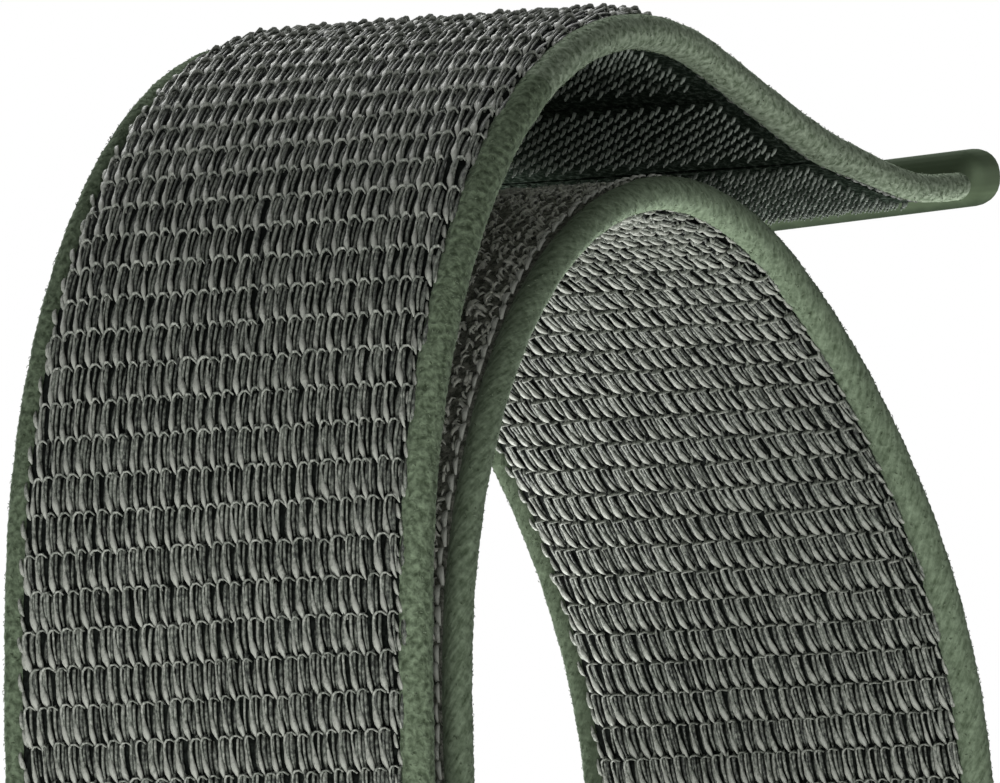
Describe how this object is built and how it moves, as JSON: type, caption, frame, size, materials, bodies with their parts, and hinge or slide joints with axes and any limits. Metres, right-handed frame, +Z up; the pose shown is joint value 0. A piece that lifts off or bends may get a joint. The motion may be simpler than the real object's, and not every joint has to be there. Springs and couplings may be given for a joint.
{
  "type": "watch strap",
  "caption": "Woven nylon hook-and-loop watch strap in a closed loop, its tail peeled up and curling away, with sprung slide-in lug connectors.",
  "frame": {"origin": "middle of the strap's bounding box, on the plane of the two lug connectors' feet", "axes": "+X from the left lug to the right lug, +Y across the band away from the camera side, +Z up from the lugs to the crown of the wrist loop"},
  "size_m": [0.0724, 0.0292, 0.0649],
  "materials": {
    "woven_nylon": "grey multifilament strands over a near-black base",
    "knitted_rim": "dense felted sage-green knit",
    "hook_pad": "dark moulded nylon hooks",
    "end_tab": "smooth dark-green bonded nylon",
    "sewing_thread": "sage-green thread",
    "lug_steel": "fine blasted stainless steel",
    "pin_steel": "polished turned stainless steel"
  },
  "bodies": {
    "strap_left": {"wrist_band_left": "woven_nylon", "wrist_rim_left_near": "knitted_rim", "wrist_rim_left_far": "knitted_rim", "lug_fold_left": "woven_nylon", "fold_rim_left_near": "knitted_rim", "fold_rim_left_far": "knitted_rim", "outer_band": "woven_nylon", "outer_rim_near": "knitted_rim", "outer_rim_far": "knitted_rim"},
    "strap_right": {"wrist_band_right": "woven_nylon", "wrist_rim_right_near": "knitted_rim", "wrist_rim_right_far": "knitted_rim", "lug_fold_right": "woven_nylon", "fold_rim_right_near": "knitted_rim", "fold_rim_right_far": "knitted_rim", "return_seam_upper": "sewing_thread", "return_seam_lower": "sewing_thread"},
    "tail_root": {"tail_band_root": "woven_nylon", "tail_rim_root_near": "knitted_rim", "tail_rim_root_far": "knitted_rim", "hook_patch_root": "hook_pad"},
    "tail_middle": {"tail_band_middle": "woven_nylon", "tail_rim_middle_near": "knitted_rim", "tail_rim_middle_far": "knitted_rim", "hook_patch_middle": "hook_pad"},
    "tail_end": {"tail_band_end": "woven_nylon", "tail_rim_end_near": "knitted_rim", "tail_rim_end_far": "knitted_rim", "hook_patch_end": "hook_pad", "tail_end_tab": "end_tab"},
    "lug_left": {"lug_frame_left": "lug_steel", "crossbar_left": "pin_steel", "crossbar_screw_left_near": "pin_steel", "crossbar_screw_left_far": "pin_steel", "latch_bush_left": "pin_steel", "latch_spring_left": "pin_steel"},
    "lug_right": {"lug_frame_right": "lug_steel", "crossbar_right": "pin_steel", "crossbar_screw_right_near": "pin_steel", "crossbar_screw_right_far": "pin_steel", "latch_bush_right": "pin_steel", "latch_spring_right": "pin_steel"},
    "latch_left": {"latch_pin_left": "pin_steel"},
    "latch_right": {"latch_pin_right": "pin_steel"}
  },
  "joints": [
    {"name": "crown_flex", "type": "hinge", "parent": "strap_left", "child": "strap_right", "pos_m": [-0.00276, 0, 0.05573], "axis": [0, 1, 0], "range_deg": [-17, 6], "stiffness_Nm_per_rad": 0.4},
    {"name": "tail_peel", "type": "hinge", "parent": "strap_left", "child": "tail_root", "pos_m": [-0.03502, 0, 0.03619], "axis": [0, 1, 0], "range_deg": [-60, 6], "stiffness_Nm_per_rad": 0.15},
    {"name": "tail_flex_first", "type": "hinge", "parent": "tail_root", "child": "tail_middle", "pos_m": [0.0028, 0, 0.06278], "axis": [0, 1, 0], "range_deg": [-30, 3], "stiffness_Nm_per_rad": 0.01},
    {"name": "tail_flex_second", "type": "hinge", "parent": "tail_middle", "child": "tail_end", "pos_m": [0.01357, 0, 0.06055], "axis": [0, 1, 0], "range_deg": [-30, 3], "stiffness_Nm_per_rad": 0.002},
    {"name": "left_lug_swivel", "type": "hinge", "parent": "strap_left", "child": "lug_left", "pos_m": [-0.02306, 0, 0.0045], "axis": [0, 1, 0], "range_deg": [-50, 35]},
    {"name": "right_lug_swivel", "type": "hinge", "parent": "strap_right", "child": "lug_right", "pos_m": [0.02594, 0, 0.0045], "axis": [0, 1, 0], "range_deg": [-35, 48]},
    {"name": "left_latch_slide", "type": "slide", "parent": "lug_left", "child": "latch_left", "axis": [0, 0, 1], "range_m": [-0.0007, 0], "stiffness_N_per_m": 400, "springref_m": 0.0005, "deforming": ["latch_spring_left"]},
    {"name": "right_latch_slide", "type": "slide", "parent": "lug_right", "child": "latch_right", "axis": [0, 0, 1], "range_m": [-0.0007, 0], "stiffness_N_per_m": 400, "springref_m": 0.0005, "deforming": ["latch_spring_right"]}
  ],
  "couplings": [
    {"joint": "tail_flex_first", "follows": "tail_peel", "ratio": 0.5},
    {"joint": "tail_flex_second", "follows": "tail_peel", "ratio": 0.5}
  ]
}
